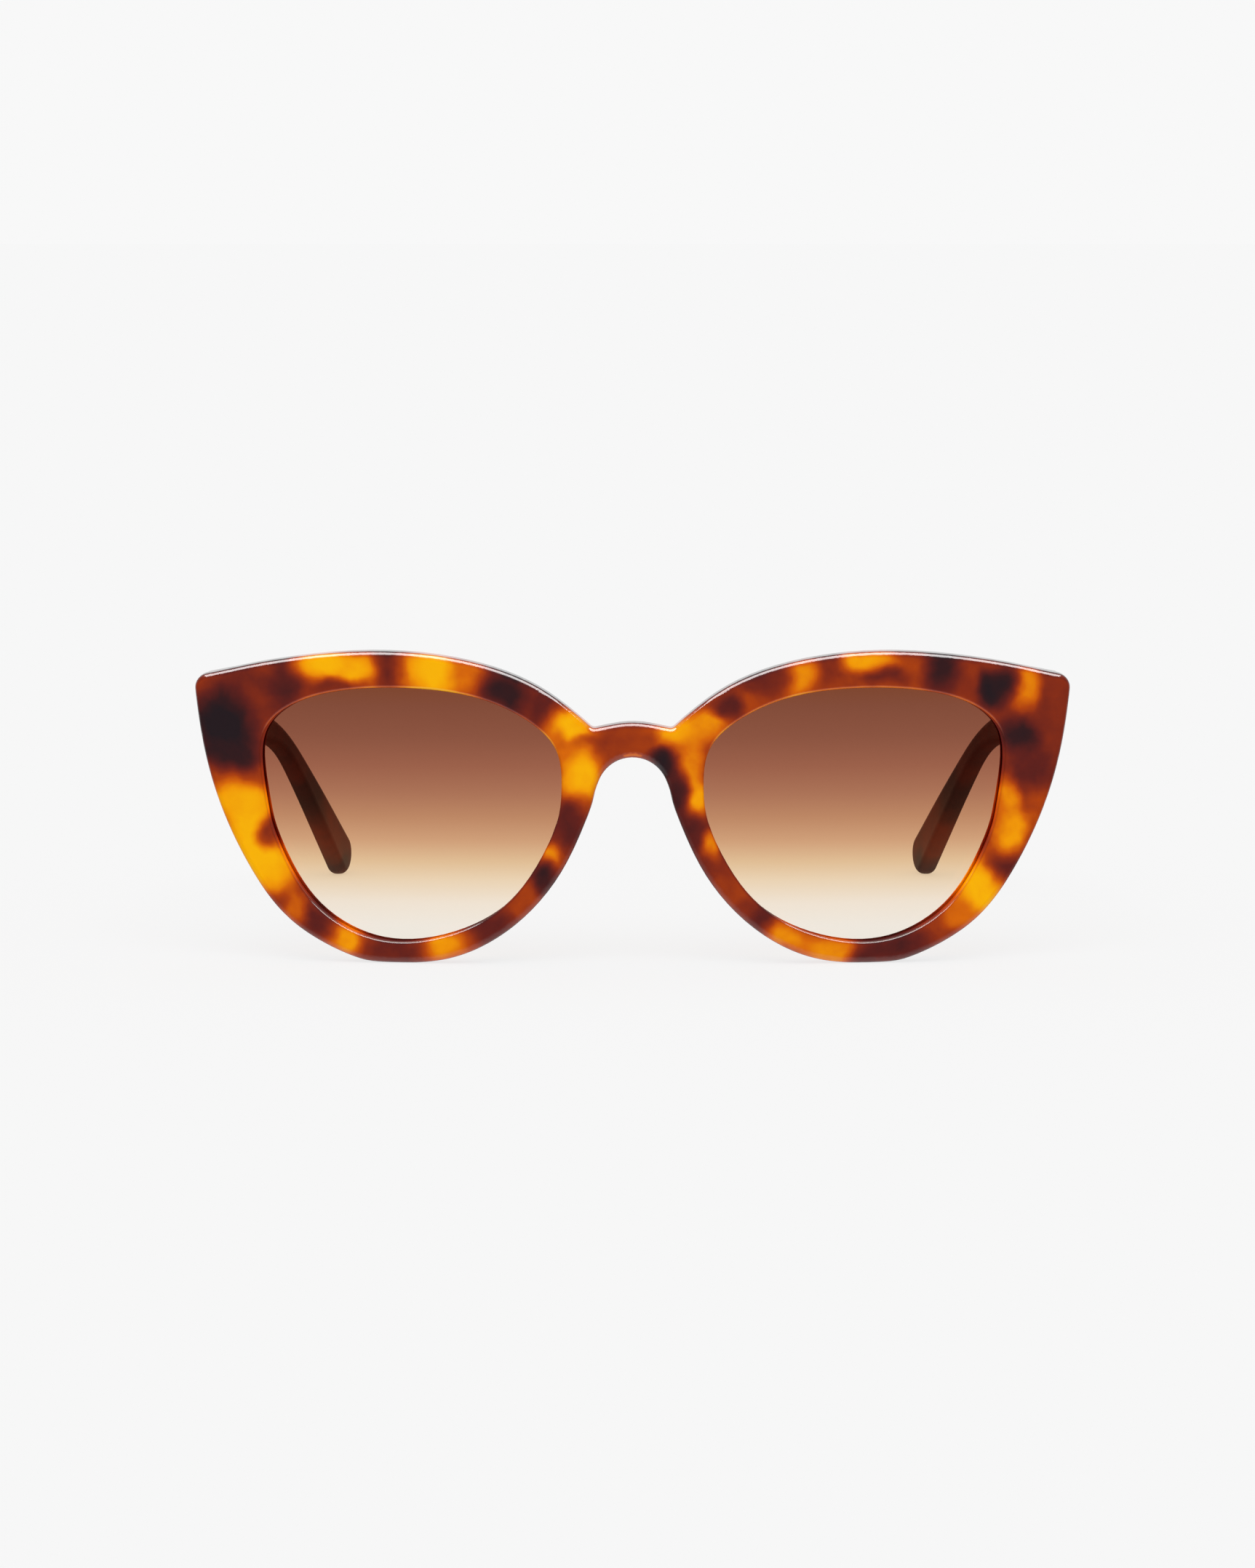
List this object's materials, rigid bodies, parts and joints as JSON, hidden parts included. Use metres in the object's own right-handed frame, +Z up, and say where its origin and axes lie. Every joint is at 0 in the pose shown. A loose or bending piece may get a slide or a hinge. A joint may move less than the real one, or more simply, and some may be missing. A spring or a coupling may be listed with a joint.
{
  "type": "cat eye sunglasses",
  "caption": "Cat eye sunglasses with a tortoiseshell acetate front, brown gradient lenses and folding temples with curved ear ends.",
  "frame": {"origin": "on the surface that the open sunglasses stand on, below the middle of their width and length", "axes": "+X towards the wearer's left, +Y from the front towards the temple tips, +Z up"},
  "size_m": [0.1468, 0.1446, 0.0523],
  "materials": {
    "tortoiseshell": "polished tortoiseshell acetate",
    "pad_acetate": "polished acetate",
    "lens": "brown gradient tint, polished",
    "hinge_metal": "satin nickel silver",
    "screw_metal": "bright steel",
    "core_metal": "drawn wire"
  },
  "bodies": {
    "front": {"front_frame": "tortoiseshell", "lens_left": "lens", "lens_right": "lens", "nose_pad_left": "pad_acetate", "nose_pad_right": "pad_acetate", "front_hinge_left": "hinge_metal", "front_hinge_right": "hinge_metal", "hinge_screw_left": "screw_metal", "hinge_screw_right": "screw_metal"},
    "temple_left": {"temple_left": "tortoiseshell", "temple_hinge_left": "hinge_metal", "temple_core_left": "core_metal"},
    "temple_right": {"temple_right": "tortoiseshell", "temple_hinge_right": "hinge_metal", "temple_core_right": "core_metal"}
  },
  "joints": [
    {"name": "fold_left", "type": "hinge", "parent": "front", "child": "temple_left", "pos_m": [0.0654, -0.05785, 0.0417], "axis": [0, 0, 1], "range_deg": [0, 86]},
    {"name": "fold_right", "type": "hinge", "parent": "front", "child": "temple_right", "pos_m": [-0.0654, -0.05785, 0.0417], "axis": [0, 0, -1], "range_deg": [0, 81]}
  ]
}
